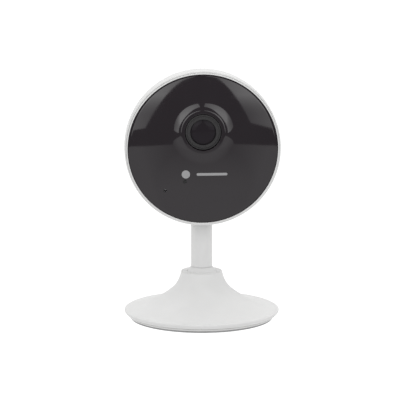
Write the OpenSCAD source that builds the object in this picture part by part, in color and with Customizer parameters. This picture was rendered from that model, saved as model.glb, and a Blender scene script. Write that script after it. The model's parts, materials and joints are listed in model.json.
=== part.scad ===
// Indoor security camera: a round head on a short stem, carried by a ball joint in a flared base.
// Millimetres. The front faces -Y, +Z is up, and the origin is the centre of the base's underside.

/* [Head] */
// Outer diameter of the head
head_d = 64; // [60:1:70]
// Height of the head's centre above the table
head_z = 72.8; // [72.8:0.1:76]
// Plastic wall of the two casings
wall = 1.8; // [1.6:0.1:2]
// Distance from the stem's axis to the front edge of the rear housing
rim_s = 10.1; // [10.1:0.1:10.6]
// Distance from the stem's axis to the housing's flat back
back_s = 13.6; // [13.6:0.1:16]
// Width of the slot that the stem swings in
slot_w = 10; // [9.6:0.1:11]

/* [Front cover] */
// Radius of the black front cover
cover_r = 30.7; // [30:0.1:30.7]
// Height of the cover's dome over its edge
dome_h = 3; // [2:0.1:4]
// Height of the lens above the centre of the head
lens_up = 7.35; // [6:0.05:8]
// Radius of the opening around the lens
opening_r = 7.5; // [7.4:0.1:7.6]
// Radius at the foot of the raised collar around the lens
collar_foot_r = 13.4; // [13:0.1:14]
// Height of the collar's crest over the dome
collar_h = 0.65; // [0.5:0.05:1]

/* [Lens] */
// Radius of the lens barrel's thread
barrel_r = 6; // [5.5:0.1:6]
// Radius of the lens barrel's front flange
flange_r = 7.1; // [7:0.05:7.1]
// Radius of the front lens
glass_r = 5.1; // [4.8:0.1:5.2]
// Travel of the infrared filter
filter_travel = 5.6; // [5:0.1:5.6]

/* [Stem] */
// Diameter of the stem
stem_d = 8.8; // [8:0.1:8.8]
// Height of the stem's lower end
stem_foot_z = 21.7; // [21.7:0.1:23]
// Height of the tilt hinge inside the head
hinge_z = 52.8; // [52.8:0.1:54]
// Radius of the tilt hinge's pin
pin_r = 1.5; // [1.4:0.1:1.6]

/* [Base] */
// Outer diameter of the base
base_d = 64; // [60:1:70]
// Height of the socket collar's flat top
collar_z = 19.7; // [19.7:0.1:20]
// Outer radius of the socket collar
collar_r = 8.4; // [8.4:0.1:8.8]
// How hollow the base's flared top is
flare_power = 1.9; // [1.8:0.1:2]
// Radius of the ball
ball_r = 7; // [6.8:0.1:7]
// Height of the ball's centre
ball_z = 16.1; // [16:0.1:16.1]
// Thickness of the rubber foot pad
pad_h = 0.8; // [0.6:0.1:0.8]

/* [Circuit boards] */
// Radius of the round main board
board_r = 27; // [26:0.1:27]
// Thickness of the main board
board_t = 1.4; // [1.2:0.1:1.6]
// Outer radius of the infrared lamp board
lamp_board_r = 17; // [16:0.5:17]
// Number of infrared lamps around the lens
lamp_count = 6; // [4:1:8]

/* [Openings] */
// Radius of the microphone hole
mic_hole_r = 0.6; // [0.5:0.1:0.8]
// Radius of each hole in the speaker grille
grille_hole_r = 0.55; // [0.4:0.05:0.7]
// Number of rings of holes in the speaker grille
grille_rings = 3; // [2:1:3]
// Travel of the reset button
button_travel = 0.5; // [0.3:0.1:0.5]

/* [Hidden] */
$fn = 96;
arc_steps = 16;
over = 1;
running_gap = 0.05;
moving_gap = 0.3;

// Head casings: s runs forward from the stem's axis, r out from the head's axis.
head_r = head_d / 2;
belt_s = 5.5;
back_r = 22;
step_s = 8.3;
step_r = head_r - wall;
lip_r = head_r - 0.6;
edge_round = 0.4;
frame_r = lip_r - 0.1;
frame_front_s = rim_s + 0.8;
frame_back_s = 7;
shelf_s = 8.5;
flange_in_r = 21.6;
boot_r = 3.2;
slot_front_s = 9.2;
slot_back_s = back_s - 2;
slot_top = -19;

// Front cover
cover_edge_s = rim_s + 0.4;
cover_t = 1.8;
cover_back_s = cover_edge_s - cover_t;
cover_land_r = 27.5;
dome_r = (cover_r * cover_r + dome_h * dome_h) / (2 * dome_h);
dome_top_s = cover_edge_s + dome_h;
collar_tilt = asin(lens_up / dome_r);
collar_crest_r = opening_r + 0.2;
collar_shoulder_r = 9.2;
collar_slope = 2 * collar_h / (collar_foot_r - collar_crest_r);

// Layout seen from the front: x to the right, up from the head's centre.
mic_at = [-15.5, -17];
lamp_at = [-7.5, -13.1];
guide_r = 0.75;
speaker_at = [0, 11];
usb_at = [0, -6.5];
reset_at = [12, -10];
card_at = [18.35, 0.9];
chip_at = [-16, 1];
case_screw_r = 24.5;
case_screw_angles = [30, 150, 205, 335];
board_screws_at = [[13, 20], [-13, 20], [17, -14], [-17, -14]];
bracket_screws_at = [[9.5, -20], [-9.5, -20]];

// Depths inside the head
board_front_s = -3.6;
board_back_s = board_front_s - board_t;
inside_back_s = -back_s + wall;
lamp_board_s = 5.2;
lamp_board_t = 1;
holder_front_s = 8.6;
holder_roof_s = 0.2;
holder_size = [20, 15];
holder_hollow = [17.8, 12];
barrel_front_s = 13.4;
barrel_back_s = 0.4;
barrel_flange_s = 10.4;
seal_r = 9.4;
filter_s = -1.6;
filter_size = [11.4, 8.8, 1];
window = 4.6;
window_pitch = filter_travel;
filter_glass_t = 0.4;

// Stem and hinge
stem_r = stem_d / 2;
stem_top_z = hinge_z - 6;
stem_bore_r = 3;
stud_r = 2;
stud_top_z = stem_foot_z + 10.5;
stud_bore_top_z = stem_foot_z + 9.1;
clip_r = 2.8;
ball_top_z = stem_foot_z - 0.35;
knuckle_w = 5.6;
knuckle_r = 4.2;
spigot_z = hinge_z - 14.8;
cheek_in = 3.6;
cheek_out = 5;
cheek_r = 4.8;
bridge_up = 4.9;
bracket_s = -3;
bracket_t = 1.2;
nut_r = 2.9;

// Base
base_r = base_d / 2;
rim_z = 4;
neck_power = 19;
neck_share = 0.26;
flare_r = base_r - 0.5;
plate_z = pad_h;
seam_z = 1.8;
plate_top_z = 2.4;
plate_r = 30.6;
socket_r = 8;
socket_foot_z = 5.6;
socket_wall_r = 9.8;
seat_gap = running_gap;
seat_top_z = 18.2;
seat_foot_z = 13.9;
cup_top_z = 13.4;
cup_r = 7.6;
washer_t = 0.5;
washer_h = 0.6;
cup_foot_z = socket_foot_z + 2 * (washer_t + washer_h) + 0.02;
spring_plate_z = 4.4;
plate_screw_r = 12.4;
magnet_top_z = 4.2;
base_screw_r = 19.6;

// Height of the base's flared top at radius r: a hollow cone with a tight fillet up to the collar.
function flare_z(r) =
    let (inward = max(0, flare_r - r) / (flare_r - collar_r))
    rim_z + (collar_z - rim_z) *
        (neck_share * pow(inward, neck_power) + (1 - neck_share) * pow(inward, flare_power));

// Depth of a dome's surface at radius r.
function dome_s(r, top, radius) = top - radius + sqrt(radius * radius - r * r);

// Height of the lens collar over the dome: a concave flank up to the shoulder, then a rounded crest.
function collar_rise(r) =
    r > collar_shoulder_r
        ? collar_slope * pow(collar_foot_r - r, 2) / (2 * (collar_foot_r - collar_shoulder_r))
        : collar_h - collar_slope * pow(r - collar_crest_r, 2) / (2 * (collar_shoulder_r - collar_crest_r));

// Quarter ellipse from the belt of the head round to its flat back.
function back_curve(width, depth) =
    [for (i = [0:arc_steps]) let (a = 90 * i / arc_steps)
        [back_r + width * cos(a), belt_s - depth * sin(a)]];

// Arc of the ball's seat between two heights.
function seat_arc(low, high) =
    [for (i = [0:arc_steps]) let (z = low + (high - low) * i / arc_steps, r = ball_r + seat_gap)
        [sqrt(r * r - pow(z - ball_z, 2)), z]];

// Places children in the head: their X stays, their Y points up and their Z points forward.
module in_head(at = [0, 0]) {
    translate([at.x, 0, head_z + at.y]) rotate([90, 0, 0]) children();
}

// A box centred on X and Y that reaches from one depth to the next.
module block(size, low, high) {
    translate([-size.x / 2, -size.y / 2, low]) cube([size.x, size.y, high - low]);
}

// A cylinder along Z from one height to the next.
module rod(r, low, high) {
    translate([0, 0, low]) cylinder(r = r, h = high - low);
}

// A washer or ring along Z.
module ring(outer, inner, low, high) {
    difference() {
        rod(outer, low, high);
        rod(inner, low - over, high + over);
    }
}

// A screw along Z, head up, with a hex socket in its head.
module screw(head_radius, head_h, shank_radius, low, head_low) {
    difference() {
        union() {
            rod(shank_radius, low, head_low);
            rod(head_radius, head_low, head_low + head_h);
        }
        translate([0, 0, head_low + head_h / 2]) cylinder(r = head_radius / 2, h = head_h, $fn = 6);
    }
}

// Repeats children in a circle around Z.
module around(count, radius, start = 0) {
    for (i = [0:count - 1]) rotate(start + 360 * i / count) translate([radius, 0, 0]) children();
}

// ---------------------------------------------------------------- base

module base_shell() {
    outer = concat(
        [[29.6, seam_z], [base_r - 0.8, seam_z], [base_r, seam_z + 0.8], [base_r, rim_z - 0.5],
            [base_r - 0.15, rim_z - 0.15]],
        [for (i = [0:2 * arc_steps]) let (r = flare_r - (flare_r - collar_r) * i / (2 * arc_steps))
            [r, flare_z(r) - (i == 2 * arc_steps ? 0.3 : 0)]],
        [[collar_r - 0.3, collar_z]]);
    opening = concat(
        [for (i = [arc_steps:-1:0]) seat_arc(seat_top_z, collar_z)[i]],
        [[socket_r, seat_top_z], [socket_r, socket_foot_z], [socket_wall_r, socket_foot_z]]);
    hollow = concat(
        [[socket_wall_r, flare_z(12.4) - 1.2]],
        [for (i = [0:arc_steps]) let (r = 11.2 + 12 * i / arc_steps) [r, flare_z(r + 1.2) - 1.2]],
        [[23.2, plate_top_z], [29.6, plate_top_z]]);
    color("white") difference() {
        union() {
            rotate_extrude() polygon(concat(outer, opening, hollow));
            around(3, plate_screw_r, 90) rod(1.9, socket_foot_z, 10.2);
            around(4, base_screw_r, 45) rod(1.7, plate_top_z, 6);
        }
        around(3, plate_screw_r, 90) rod(0.9, socket_foot_z - over, 8.4);
        around(4, base_screw_r, 45) rod(0.9, seam_z - over, 4.2);
    }
}

module ball_seat() {
    color("gainsboro") rotate_extrude()
        polygon(concat([[socket_r, seat_top_z], [socket_r, seat_foot_z]],
            seat_arc(seat_foot_z, seat_top_z)));
}

module ball_cup() {
    floor_z = ball_z - sqrt(pow(ball_r + seat_gap, 2) - 2.2 * 2.2);
    color("lightgrey") rotate_extrude()
        polygon(concat([[cup_r, cup_top_z], [cup_r, cup_foot_z], [2.2, cup_foot_z]],
            seat_arc(floor_z, cup_top_z)));
}

module spring_washers() {
    color("silver") rotate_extrude() for (flip = [0, 1])
        translate([0, flip * (cup_foot_z + socket_foot_z)]) mirror([0, flip])
            polygon([[7.2, socket_foot_z], [7.2, socket_foot_z + washer_t],
                [3.4, socket_foot_z + washer_t + washer_h], [3.4, socket_foot_z + washer_h]]);
}

module spring_plate() {
    color("silver") difference() {
        rod(15, spring_plate_z, socket_foot_z);
        rod(2.2, spring_plate_z - over, socket_foot_z + over);
        around(3, plate_screw_r, 90) rod(1, spring_plate_z - over, socket_foot_z + over);
        around(3, plate_screw_r, 90) rod(1.8, spring_plate_z - over, spring_plate_z + 0.7);
    }
}

module plate_screws() {
    color("dimgrey") around(3, plate_screw_r, 90)
        translate([0, 0, spring_plate_z + 0.7]) mirror([0, 0, 1]) screw(1.7, 0.7, 0.9, -3.2, 0);
}

module base_magnet() {
    color("dimgrey") ring(17.5, 10, plate_top_z, magnet_top_z);
}

module bottom_plate() {
    color("whitesmoke") difference() {
        union() {
            rod(plate_r, plate_z, seam_z);
            rod(29.4, plate_z, plate_top_z);
        }
        around(4, base_screw_r, 45) rod(1, plate_z - over, plate_top_z + over);
        around(4, base_screw_r, 45) rod(1.9, plate_z - over, plate_z + 0.8);
    }
}

module base_screws() {
    color("dimgrey") around(4, base_screw_r, 45)
        translate([0, 0, plate_z + 0.8]) mirror([0, 0, 1]) screw(1.8, 0.7, 0.9, -2.6, 0);
}

module foot_pad() {
    color("lightgrey") rod(29.5, 0, pad_h);
}

// ---------------------------------------------------------------- stem

module pivot_ball() {
    color("whitesmoke") difference() {
        translate([0, 0, ball_z]) sphere(r = ball_r);
        rod(ball_r, 0, ball_z - 5.6);
        rod(ball_r, ball_top_z, ball_z + ball_r + over);
        rod(stud_r, ball_z - 4.6, ball_top_z + over);
    }
}

module ball_stud() {
    color("silver") rod(stud_r, ball_z - 4.6, stud_top_z);
}

module stud_clip() {
    color("dimgrey") ring(clip_r, stud_r, stud_bore_top_z + moving_gap, stud_bore_top_z + 1.1);
}

module stem_tube() {
    color("whitesmoke") difference() {
        rotate_extrude() polygon([[0, stem_foot_z], [stem_r - 0.7, stem_foot_z],
            [stem_r - 0.2, stem_foot_z + 0.2], [stem_r, stem_foot_z + 0.7],
            [stem_r, stem_top_z], [0, stem_top_z]]);
        rod(stud_r + running_gap, stem_foot_z - over, stud_bore_top_z + over);
        rod(stem_bore_r, stud_bore_top_z, stem_top_z + over);
    }
}

module hinge_knuckle() {
    color("lightgrey") difference() {
        union() {
            rod(stem_bore_r, spigot_z, stem_top_z);
            rod(stem_r, stem_top_z, stem_top_z + 0.6);
            translate([-knuckle_w / 2, -knuckle_r, stem_top_z])
                cube([knuckle_w, 2 * knuckle_r, hinge_z - stem_top_z]);
            translate([0, 0, hinge_z]) rotate([0, 90, 0]) rod(knuckle_r, -knuckle_w / 2, knuckle_w / 2);
        }
        translate([0, 0, hinge_z]) rotate([0, 90, 0]) rod(pin_r + running_gap, -knuckle_w, knuckle_w);
    }
}

module hinge_bracket() {
    color("silver") difference() {
        union() {
            for (side = [-1, 1]) translate([side * (cheek_in + cheek_out) / 2, 0, hinge_z]) {
                rotate([0, 90, 0]) rod(cheek_r, -(cheek_out - cheek_in) / 2, (cheek_out - cheek_in) / 2);
                translate([-(cheek_out - cheek_in) / 2, -cheek_r, 0])
                    cube([cheek_out - cheek_in, 2 * cheek_r, bridge_up + 1]);
            }
            translate([-cheek_out, -cheek_r, hinge_z + bridge_up]) cube([2 * cheek_out, 2 * cheek_r, 1]);
            for (side = [-1, 1]) translate([side > 0 ? cheek_in : -12.5, -bracket_s, hinge_z - 3.4])
                cube([12.5 - cheek_in, bracket_t, 7.9]);
        }
        translate([0, 0, hinge_z]) rotate([0, 90, 0]) rod(pin_r, -over - cheek_out, over + cheek_out);
        for (at = bracket_screws_at) in_head(at) rod(1, bracket_s - bracket_t - over, bracket_s + over);
    }
}

module bracket_screws() {
    color("dimgrey") for (at = bracket_screws_at) in_head(at) screw(1.9, 0.9, 0.9, -9, bracket_s);
}

module hinge_pin() {
    color("dimgrey") translate([0, 0, hinge_z]) rotate([0, 90, 0]) {
        rod(pin_r, -cheek_out, cheek_out + 2.6);
        difference() {
            rod(2.8, -cheek_out - 1.8, -cheek_out);
            translate([0, 0, -cheek_out - 1.8 - over]) cylinder(r = 1.3, h = over + 1, $fn = 6);
        }
    }
}

module hinge_nut() {
    color("silver") translate([0, 0, hinge_z]) rotate([0, 90, 0]) difference() {
        translate([0, 0, cheek_out]) cylinder(r = nut_r, h = 2.2, $fn = 6);
        rod(pin_r, cheek_out - over, cheek_out + 3);
    }
}

module friction_washers() {
    color("dimgrey") for (side = [-1, 1]) translate([0, 0, hinge_z]) rotate([0, side * 90, 0])
        ring(4, pin_r + running_gap, knuckle_w / 2 + running_gap, cheek_in);
}

// ---------------------------------------------------------------- head casings

module housing_outside() {
    rotate_extrude() polygon(concat(
        [[0, rim_s], [head_r - edge_round, rim_s], [head_r, rim_s - edge_round]],
        back_curve(head_r - back_r, back_s + belt_s), [[0, -back_s]]));
}

module housing_inside() {
    rotate_extrude() polygon(concat(
        [[0, rim_s + over], [lip_r, rim_s + over], [lip_r, step_s], [step_r, step_s]],
        back_curve(step_r - back_r, back_s + belt_s - wall), [[0, inside_back_s]]));
}

module case_posts(r, low, high) {
    for (a = case_screw_angles) rotate(a) translate([case_screw_r, 0, 0]) rod(r, low, high);
}

module housing_posts() {
    case_posts(2.6, -back_s, frame_back_s);
    for (at = board_screws_at) translate(at) rod(2.2, -back_s, board_back_s);
    for (at = bracket_screws_at) translate(at) rod(2.2, -back_s, bracket_s - bracket_t);
    for (side = [-1, 1]) translate([side * 7, 29.4, 0]) block([2, 4], -3, 3);
}

module stem_slot() {
    translate([0, slot_top, 0]) rotate([90, 0, 0]) linear_extrude(head_r + slot_top + over) {
        translate([-slot_w / 2, slot_w / 2 - slot_back_s])
            square([slot_w, slot_front_s + slot_back_s - slot_w / 2]);
        translate([0, slot_w / 2 - slot_back_s]) circle(r = slot_w / 2);
    }
}

module speaker_grille() {
    translate(speaker_at) {
        rod(grille_hole_r, -back_s - over, inside_back_s + over);
        for (n = [1:grille_rings]) around(6 * n, 2.3 * n) rod(grille_hole_r, -back_s - over, inside_back_s + over);
    }
}

module rear_housing() {
    color("white") in_head() difference() {
        housing_outside();
        difference() {
            housing_inside();
            housing_posts();
        }
        case_posts(0.9, -2, frame_back_s + over);
        for (at = board_screws_at) translate(at) rod(0.8, -8.4, board_back_s + over);
        for (at = bracket_screws_at) translate(at) rod(0.9, -9.4, 0);
        stem_slot();
        speaker_grille();
        translate(usb_at) block([8.2, 3.5], -back_s - over, inside_back_s + over);
        translate(reset_at) rod(1.75, -back_s - over, inside_back_s + over);
        translate([24, card_at.y - 6.1, board_back_s - 1.85]) cube([9, 12.2, 1.9]);
    }
}

module front_frame() {
    color("white") in_head() difference() {
        rotate_extrude() polygon([[flange_in_r, frame_back_s], [step_r - 0.1, frame_back_s],
            [step_r - 0.1, step_s + running_gap], [frame_r, step_s + running_gap],
            [frame_r, frame_front_s - 0.2], [frame_r - 0.2, frame_front_s],
            [cover_r + 0.1, frame_front_s], [cover_r + 0.1, shelf_s], [flange_in_r, shelf_s]]);
        case_posts(1, frame_back_s - over, shelf_s + over);
        case_posts(2.1, frame_back_s + 0.6, shelf_s + over);
        translate(mic_at) rod(boot_r + 0.2, frame_back_s - over, shelf_s + over);
        translate([0, -27, 0]) block([slot_w, 14], frame_back_s - over, slot_front_s);
    }
}

// Outline of the cover's inner face, lowered by a gap.
function cover_inside(gap = 0) =
    [for (i = [0:arc_steps]) let (r = cover_land_r * i / arc_steps)
        [r, dome_s(r, dome_top_s - cover_t - gap, dome_r - cover_t)]];

module lens_collar() {
    steps = [for (i = [0:arc_steps]) opening_r + (collar_foot_r - 0.9 - opening_r) * i / arc_steps];
    translate([0, 0, dome_top_s - dome_r]) rotate([-collar_tilt, 0, 0]) rotate_extrude()
        polygon(concat([[0, dome_r - 1], [0, dome_r]],
            [for (r = steps) [r, dome_s(r, dome_r, dome_r) + collar_rise(r)]],
            [[collar_foot_r - 0.9, dome_r - 1.5]]));
}

module front_cover() {
    color("black") in_head() difference() {
        union() {
            rotate_extrude() polygon(concat(cover_inside(),
                [[cover_land_r, cover_back_s], [cover_r, cover_back_s]],
                [for (i = [arc_steps:-1:0]) let (r = cover_r * i / arc_steps)
                    [r, dome_s(r, dome_top_s, dome_r)]]));
            lens_collar();
        }
        translate([0, lens_up, 0]) rod(opening_r, 10, dome_top_s + 2);
        translate(mic_at) rod(mic_hole_r, cover_back_s, dome_top_s);
        translate(lamp_at) rod(guide_r + 0.05, cover_back_s, dome_top_s);
    }
}

module cover_adhesive() {
    color("grey") in_head() ring(30.4, 27.8, shelf_s, cover_back_s);
}

module case_screws() {
    color("dimgrey") in_head() for (a = case_screw_angles) rotate(a) translate([case_screw_r, 0, 0])
        screw(2, 0.8, 0.9, -1.6, frame_back_s + 0.6);
}

// ---------------------------------------------------------------- lens

module lens_seal() {
    color("black") in_head() intersection() {
        translate([0, lens_up, 0]) rotate_extrude() polygon([
            [barrel_r + running_gap, 9.4], [seal_r, 9.4], [seal_r, 13], [flange_r + running_gap, 13],
            [flange_r + running_gap, barrel_flange_s], [barrel_r + running_gap, barrel_flange_s]]);
        rotate_extrude() polygon(concat([[0, 0]], cover_inside(running_gap), [[cover_land_r, 0]]));
    }
}

module lens_barrel() {
    color("dimgrey") in_head([0, lens_up]) rotate_extrude() polygon([
        [3.4, 2.5], [glass_r - 0.9, 2.5], [glass_r - 0.9, barrel_back_s], [barrel_r, barrel_back_s],
        [barrel_r, barrel_flange_s], [flange_r, barrel_flange_s], [flange_r, barrel_front_s - 0.4],
        [flange_r - 0.4, barrel_front_s], [glass_r + 0.3, barrel_front_s],
        [glass_r + 0.05, barrel_front_s - 0.3], [glass_r + 0.05, 11.8], [3.4, 11.8]]);
}

module front_lens() {
    bulge = 0.7;
    radius = (glass_r * glass_r + bulge * bulge) / (2 * bulge);
    color("darkslategrey") in_head([0, lens_up]) rotate_extrude() polygon(concat(
        [[0, 11.9], [glass_r, 11.9]],
        [for (i = [arc_steps:-1:0]) let (r = glass_r * i / arc_steps)
            [r, dome_s(r, barrel_front_s, radius)]]));
}

module rear_lens() {
    color("lightblue") in_head([0, lens_up]) rotate_extrude() polygon(concat(
        [[0, 2.4], [glass_r - 0.95, 2.4]],
        [for (i = [arc_steps:-1:0]) let (r = (glass_r - 0.95) * i / arc_steps)
            [r, barrel_back_s + 1.2 - dome_s(r, 0.9, 10)]]));
}

module lens_holder() {
    color("black") in_head([0, lens_up]) difference() {
        union() {
            block(holder_size, board_front_s, holder_roof_s + 1.4);
            rod(8, holder_roof_s, lamp_board_s);
            rod(7, holder_roof_s, holder_front_s);
        }
        block(holder_hollow, board_front_s - over, holder_roof_s);
        rod(barrel_r, holder_roof_s - over, holder_front_s + over);
    }
}

module filter_frame() {
    color("dimgrey") in_head([window_pitch / 2, lens_up]) difference() {
        block(filter_size, filter_s, filter_s + filter_size.z);
        for (side = [-1, 1]) translate([side * window_pitch / 2, 0, 0])
            block([window, window], filter_s - over, filter_s + filter_size.z + over);
    }
}

// Pane in one window of the filter frame.
module filter_pane(x) {
    in_head([x, lens_up]) block([window, window], filter_s + 0.3, filter_s + 0.3 + filter_glass_t);
}

module infrared_filter() {
    color("lightcoral") filter_pane(0);
}

module clear_filter() {
    color("lightblue") filter_pane(window_pitch);
}

module filter_coil() {
    low = -holder_size.y / 2 - 4.1;
    color("peru") in_head([0, lens_up]) difference() {
        translate([0, low + 2, 0]) block([7, 4], board_front_s, 0);
        translate([0, low + 2, 0]) block([2.4, 5], -2.6, -0.6);
    }
}

// ---------------------------------------------------------------- boards and chips

module main_board() {
    color("darkgreen") in_head() difference() {
        rod(board_r, board_back_s, board_front_s);
        case_posts(2.9, board_back_s - over, board_front_s + over);
        for (at = board_screws_at) translate(at) rod(1, board_back_s - over, board_front_s + over);
        translate([0, -board_r, 0]) block([11.8, 27], board_back_s - over, board_front_s + over);
        translate([0, -board_r, 0]) block([29, 23.8], board_back_s - over, board_front_s + over);
    }
}

module board_screws() {
    color("silver") in_head() for (at = board_screws_at) translate(at) screw(1.7, 0.9, 0.8, -8, board_front_s);
}

module image_sensor() {
    color("darkslategrey") in_head([0, lens_up]) block([8.4, 7.2], board_front_s, board_front_s + 1.2);
}

module processor() {
    color("black") in_head(chip_at) block([9, 9], board_back_s - 1.2, board_back_s);
}

module thermal_pad() {
    color("lightblue") in_head(chip_at) block([8, 8], board_back_s - 1.7, board_back_s - 1.2);
}

module shield_can() {
    color("silver") in_head(chip_at) difference() {
        block([14, 14], board_back_s - 2, board_back_s);
        block([13.4, 13.4], board_back_s - 1.7, board_back_s + over);
    }
}

module lamp_board() {
    color("darkgreen") in_head([0, lens_up])
        ring(lamp_board_r, 7.1, lamp_board_s, lamp_board_s + lamp_board_t);
}

module infrared_lamps() {
    color("whitesmoke") in_head([0, lens_up]) around(lamp_count, 12.6, 30) {
        block([2.8, 3.5], lamp_board_s + lamp_board_t, lamp_board_s + lamp_board_t + 1.2);
        translate([0, 0, lamp_board_s + lamp_board_t + 1.1]) cylinder(r1 = 1.2, r2 = 0.8, h = 0.6);
    }
}

module lamp_ribbon() {
    color("white") in_head([0, -8.5]) block([5, 0.3], board_front_s, lamp_board_s);
}

module status_lamp() {
    color("whitesmoke") in_head(lamp_at) block([1.6, 1.2], board_front_s, board_front_s + 0.8);
}

module light_guide() {
    color("lightblue") in_head(lamp_at) rod(guide_r, board_front_s + 1, dome_s(norm(lamp_at), dome_top_s, dome_r));
}

// ---------------------------------------------------------------- sound

module microphone() {
    color("silver") in_head(mic_at) rod(2.2, 6.4, 8.4);
}

module microphone_boot() {
    color("black") in_head(mic_at) difference() {
        rod(boot_r, 6.4, 9.4);
        rod(2.2, 6.4 - over, 8.4);
        rod(mic_hole_r, 8, 9.4 + over);
    }
}

module speaker() {
    color("dimgrey") in_head(speaker_at) {
        ring(10, 8, inside_back_s + 0.6, inside_back_s + 2);
        rod(8, inside_back_s + 1.2, inside_back_s + 2);
        rod(8.6, inside_back_s + 2, inside_back_s + 3);
        rod(6, inside_back_s + 3, inside_back_s + 4.6);
    }
}

module speaker_gasket() {
    color("black") in_head(speaker_at) ring(10, 8, inside_back_s, inside_back_s + 0.6);
}

module lead_wires() {
    color("firebrick") in_head() {
        translate(mic_at) rod(0.5, board_front_s, 6.4);
        translate(speaker_at) translate([7.3, 0]) rod(0.5, inside_back_s + 3, board_back_s);
    }
}

// ---------------------------------------------------------------- antenna and sockets

module wifi_antenna() {
    color("goldenrod") in_head([0, 27.2]) block([18, 0.4], -3, 3);
}

module antenna_cable() {
    plug_up = 20.5;
    color("black") in_head([-4, 0]) {
        translate([0, 27, -2.4]) rotate([90, 0, 0]) rod(0.5, 0, 27 - plug_up);
        translate([0, plug_up, 0]) rod(1.2, board_front_s, -1.8);
    }
}

module usb_socket() {
    mouth = -back_s + 0.4;
    color("silver") in_head(usb_at) {
        difference() {
            block([7.6, 2.9], mouth, board_back_s);
            block([6.9, 2.2], mouth - over, board_back_s - 1.4);
        }
        translate([0, 0.45, 0]) block([4.4, 0.6], mouth + 0.8, board_back_s - 1.3);
    }
}

module card_socket() {
    color("silver") in_head(card_at) difference() {
        block([14.5, 15], board_back_s - 1.8, board_back_s);
        translate([over, 0, 0]) block([14.5, 11.4], board_back_s - 1.4, board_back_s - 0.3);
    }
}

module reset_switch() {
    color("silver") in_head(reset_at) {
        block([4, 4], board_back_s - 1.3, board_back_s);
        rod(1, board_back_s - 1.6, board_back_s - 1.3);
    }
}

module reset_button() {
    color("gainsboro") in_head(reset_at) {
        rod(1.45, -back_s + 0.2, inside_back_s + 0.3);
        rod(2.4, inside_back_s + 0.3, inside_back_s + 1.1);
        rod(1, inside_back_s + 1.1, board_back_s - 2 - button_travel);
    }
}

base_shell();
ball_seat();
ball_cup();
spring_washers();
spring_plate();
plate_screws();
base_magnet();
bottom_plate();
base_screws();
foot_pad();
pivot_ball();
ball_stud();
stud_clip();
stem_tube();
hinge_knuckle();
hinge_bracket();
bracket_screws();
hinge_pin();
hinge_nut();
friction_washers();
rear_housing();
front_frame();
front_cover();
cover_adhesive();
case_screws();
lens_seal();
lens_barrel();
front_lens();
rear_lens();
lens_holder();
filter_frame();
infrared_filter();
clear_filter();
filter_coil();
main_board();
board_screws();
image_sensor();
processor();
thermal_pad();
shield_can();
lamp_board();
infrared_lamps();
lamp_ribbon();
status_lamp();
light_guide();
microphone();
microphone_boot();
speaker();
speaker_gasket();
lead_wires();
wifi_antenna();
antenna_cable();
usb_socket();
card_socket();
reset_switch();
reset_button();
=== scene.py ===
"""Looks of the indoor security camera: shells, lens, materials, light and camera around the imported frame."""

import json
import math

import bmesh
import bpy
from mathutils import Matrix, Vector


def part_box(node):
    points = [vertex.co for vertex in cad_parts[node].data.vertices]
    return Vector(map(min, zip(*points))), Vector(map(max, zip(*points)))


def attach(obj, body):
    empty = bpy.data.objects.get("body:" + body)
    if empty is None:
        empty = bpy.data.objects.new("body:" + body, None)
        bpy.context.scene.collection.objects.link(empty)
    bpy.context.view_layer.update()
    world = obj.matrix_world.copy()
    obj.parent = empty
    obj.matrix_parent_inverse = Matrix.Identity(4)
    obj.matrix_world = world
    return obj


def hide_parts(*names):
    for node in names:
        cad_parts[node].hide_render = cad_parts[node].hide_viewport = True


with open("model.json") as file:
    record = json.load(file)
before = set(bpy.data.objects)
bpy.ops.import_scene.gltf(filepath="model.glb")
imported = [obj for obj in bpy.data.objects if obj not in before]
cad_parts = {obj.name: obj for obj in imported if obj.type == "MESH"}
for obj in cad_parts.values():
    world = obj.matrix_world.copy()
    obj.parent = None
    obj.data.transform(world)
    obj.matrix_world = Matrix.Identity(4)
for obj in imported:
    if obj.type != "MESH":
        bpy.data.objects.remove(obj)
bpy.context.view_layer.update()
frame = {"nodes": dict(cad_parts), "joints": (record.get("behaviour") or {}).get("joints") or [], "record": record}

MM = 0.001
TURNS = 160  # segments round the base, the head and the cover
BARREL_TURNS = 128
BALL_TURNS = 96  # the ball, the stem and the lens glass
KEY_TURNS = 48
HOLE_TURNS = 32
GRILLE_TURNS = 24
SHARP_EDGE = 35  # edges sharper than this many degrees are shaded as edges


# ---------------------------------------------------------------- sizes from the frame

def box_mm(node):
    """Lowest and highest corner of a CAD node, in millimetres."""
    low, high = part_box(node)
    return low / MM, high / MM


def centre_xz(node):
    """Centre of a CAD node seen from the front."""
    low, high = box_mm(node)
    return (low.x + high.x) / 2, (low.z + high.z) / 2


housing_low, housing_high = box_mm("rear_housing")
frame_low, frame_high = box_mm("front_frame")
cover_low, cover_high = box_mm("front_cover")
barrel_low, barrel_high = box_mm("lens_barrel")
glass_low, glass_high = box_mm("front_lens")
shell_low, shell_high = box_mm("base_shell")
plate_low, plate_high = box_mm("bottom_plate")
pad_low, pad_high = box_mm("foot_pad")
ball_low, ball_high = box_mm("pivot_ball")
stem_low, stem_high = box_mm("stem_tube")
usb_low, usb_high = box_mm("usb_socket")
card_low, card_high = box_mm("card_socket")
button_low, button_high = box_mm("reset_button")

HEAD_X, HEAD_Z = centre_xz("rear_housing")
HEAD_R = (housing_high.x - housing_low.x) / 2
RIM_S = -housing_low.y  # depths in the head are measured forward from the stem's axis
BACK_S = housing_high.y
WALL = 1.8  # thickness of the rear housing
FRAME_R = (frame_high.x - frame_low.x) / 2
FRAME_FRONT_S = -frame_low.y
COVER_R = (cover_high.x - cover_low.x) / 2
COVER_BACK_S = -cover_high.y
LENS_UP = centre_xz("lens_barrel")[1] - HEAD_Z  # the lens's axis above the head's centre
BASE_R = (shell_high.x - shell_low.x) / 2
COLLAR_Z = shell_high.z
BALL_R = (ball_high.x - ball_low.x) / 2
BALL_Z = next(j for j in frame["joints"] if j["name"] == "stem_lean")["pos_m"][2] / MM


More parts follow.
